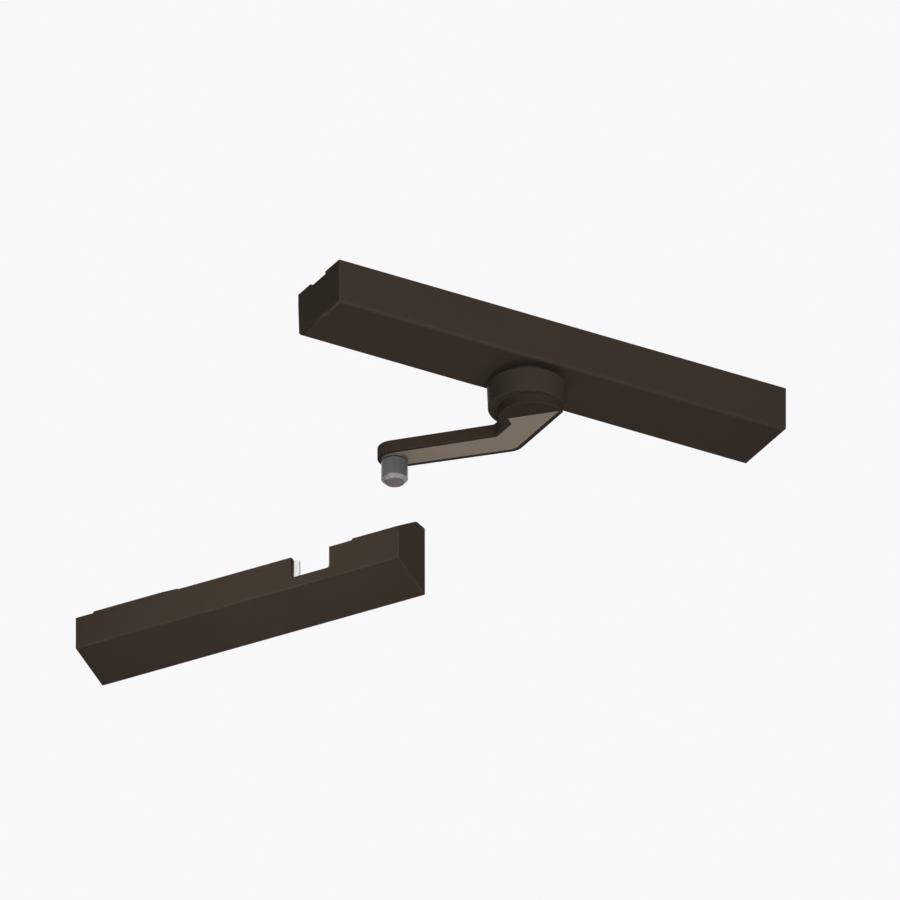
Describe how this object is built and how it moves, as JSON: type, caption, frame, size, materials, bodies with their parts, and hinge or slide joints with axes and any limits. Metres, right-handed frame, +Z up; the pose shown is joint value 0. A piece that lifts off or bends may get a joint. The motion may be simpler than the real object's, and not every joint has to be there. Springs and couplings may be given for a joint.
{
  "type": "surface mount door damper",
  "caption": "Slim head-mounted door damper: a swinging cranked arm with a roller below a boxed body, and a wedge-shaped catch with an open channel for the door.",
  "frame": {"origin": "the hub axis where it meets the mounting face of the head", "axes": "+Z up out of the mounting face into the head, +X along the head towards the hinge jamb, +Y towards the door"},
  "size_m": [0.2108, 0.2575, 0.0618],
  "materials": {
    "zinc_steel": "zinc plated",
    "cast_alloy": "as cast",
    "dark_shell": "satin dark brown",
    "spring_steel": "plain",
    "screw_steel": "zinc plated",
    "bush_bronze": "sintered bronze",
    "dark_collar": "satin dark brown",
    "tube_steel": "drawn",
    "gland_black": "matt",
    "seat_grey": "matt",
    "guide_white": "satin off-white",
    "coil_steel": "oiled",
    "spindle_steel": "ground",
    "gear_steel": "machined",
    "dark_drum": "satin dark brown",
    "dark_arm": "satin dark brown",
    "inlay_metal": "satin grey-brown",
    "pin_steel": "turned",
    "washer_dark": "matt",
    "roller_grey": "satin mid grey",
    "block_grey": "machined"
  },
  "bodies": {
    "mounting": {"base_plate": "zinc_steel", "chassis": "cast_alloy", "cover": "dark_shell", "cover_clips": "spring_steel", "chassis_screws": "screw_steel", "upper_bush": "bush_bronze", "lower_bush": "bush_bronze", "hub_collar": "dark_collar", "damper_tube": "tube_steel", "damper_gland": "gland_black", "damper_end_plug": "gland_black", "spring_seat": "seat_grey", "catch_back_plate": "zinc_steel", "catch_cover": "dark_shell", "catch_guide": "guide_white", "catch_clips": "spring_steel", "closing_spring": "coil_steel"},
    "swing_arm": {"spindle": "spindle_steel", "pinion": "gear_steel", "drum": "dark_drum", "arm": "dark_arm", "arm_inlay": "inlay_metal", "roller_pin": "pin_steel", "pin_washer": "washer_dark"},
    "roller_wheel": {"roller": "roller_grey"},
    "carriage": {"rack": "gear_steel", "tie_bar": "gear_steel", "damper_block": "block_grey", "spring_block": "block_grey", "piston_rod": "spindle_steel", "piston": "gland_black", "spring_follower": "seat_grey"}
  },
  "joints": [
    {"name": "arm_swing", "type": "hinge", "parent": "mounting", "child": "swing_arm", "pos_m": [0, 0, 0], "axis": [0, 0, 1], "range_deg": [0, 42.5]},
    {"name": "roller_spin", "type": "hinge", "parent": "swing_arm", "child": "roller_wheel", "pos_m": [-0.03031, 0.05559, -0.045], "axis": [0, 0, 1], "continuous": true},
    {"name": "carriage_travel", "type": "slide", "parent": "mounting", "child": "carriage", "axis": [-1, 0, 0], "range_m": [0, 0.0052], "deforming": ["closing_spring"]}
  ],
  "couplings": [
    {"joint": "carriage_travel", "follows": "arm_swing", "m_per_rad": 0.007}
  ]
}
